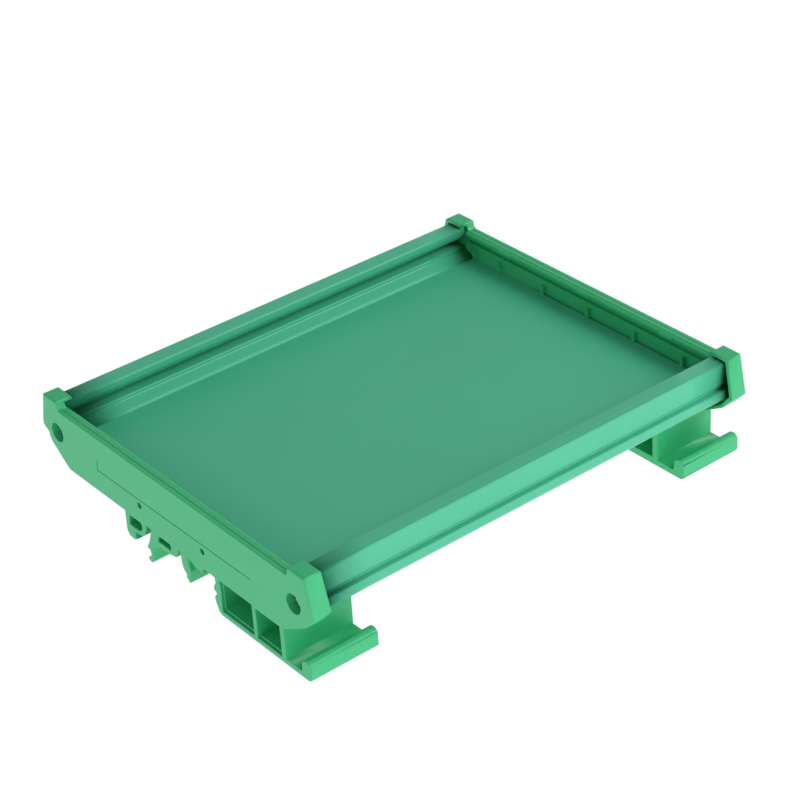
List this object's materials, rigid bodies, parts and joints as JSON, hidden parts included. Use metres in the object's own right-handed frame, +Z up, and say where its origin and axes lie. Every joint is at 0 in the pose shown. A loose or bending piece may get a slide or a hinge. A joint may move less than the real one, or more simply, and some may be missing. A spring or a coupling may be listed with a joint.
{
  "type": "din rail enclosure",
  "caption": "Open board carrier for rail mounting: an extruded slotted tray closed by moulded end plates that carry the rail feet.",
  "frame": {"origin": "middle of the underside of the bounding box, on the plane the foot stands on", "axes": "+X along the tray and along the rail, +Y away from the latch foot's lip, +Z up out of the open tray"},
  "size_m": [0.1412, 0.116, 0.0303],
  "materials": {
    "extruded_pvc": "satin blue-green, fine lines along the extrusion",
    "moulded_polyamide": "matt green, finely eroded mould texture",
    "zinc_plated_steel": "bright zinc plating"
  },
  "bodies": {
    "root": {"tray_profile": "extruded_pvc", "left_end_plate": "moulded_polyamide", "right_end_plate": "moulded_polyamide", "end_plate_screws": "zinc_plated_steel"}
  },
  "joints": []
}
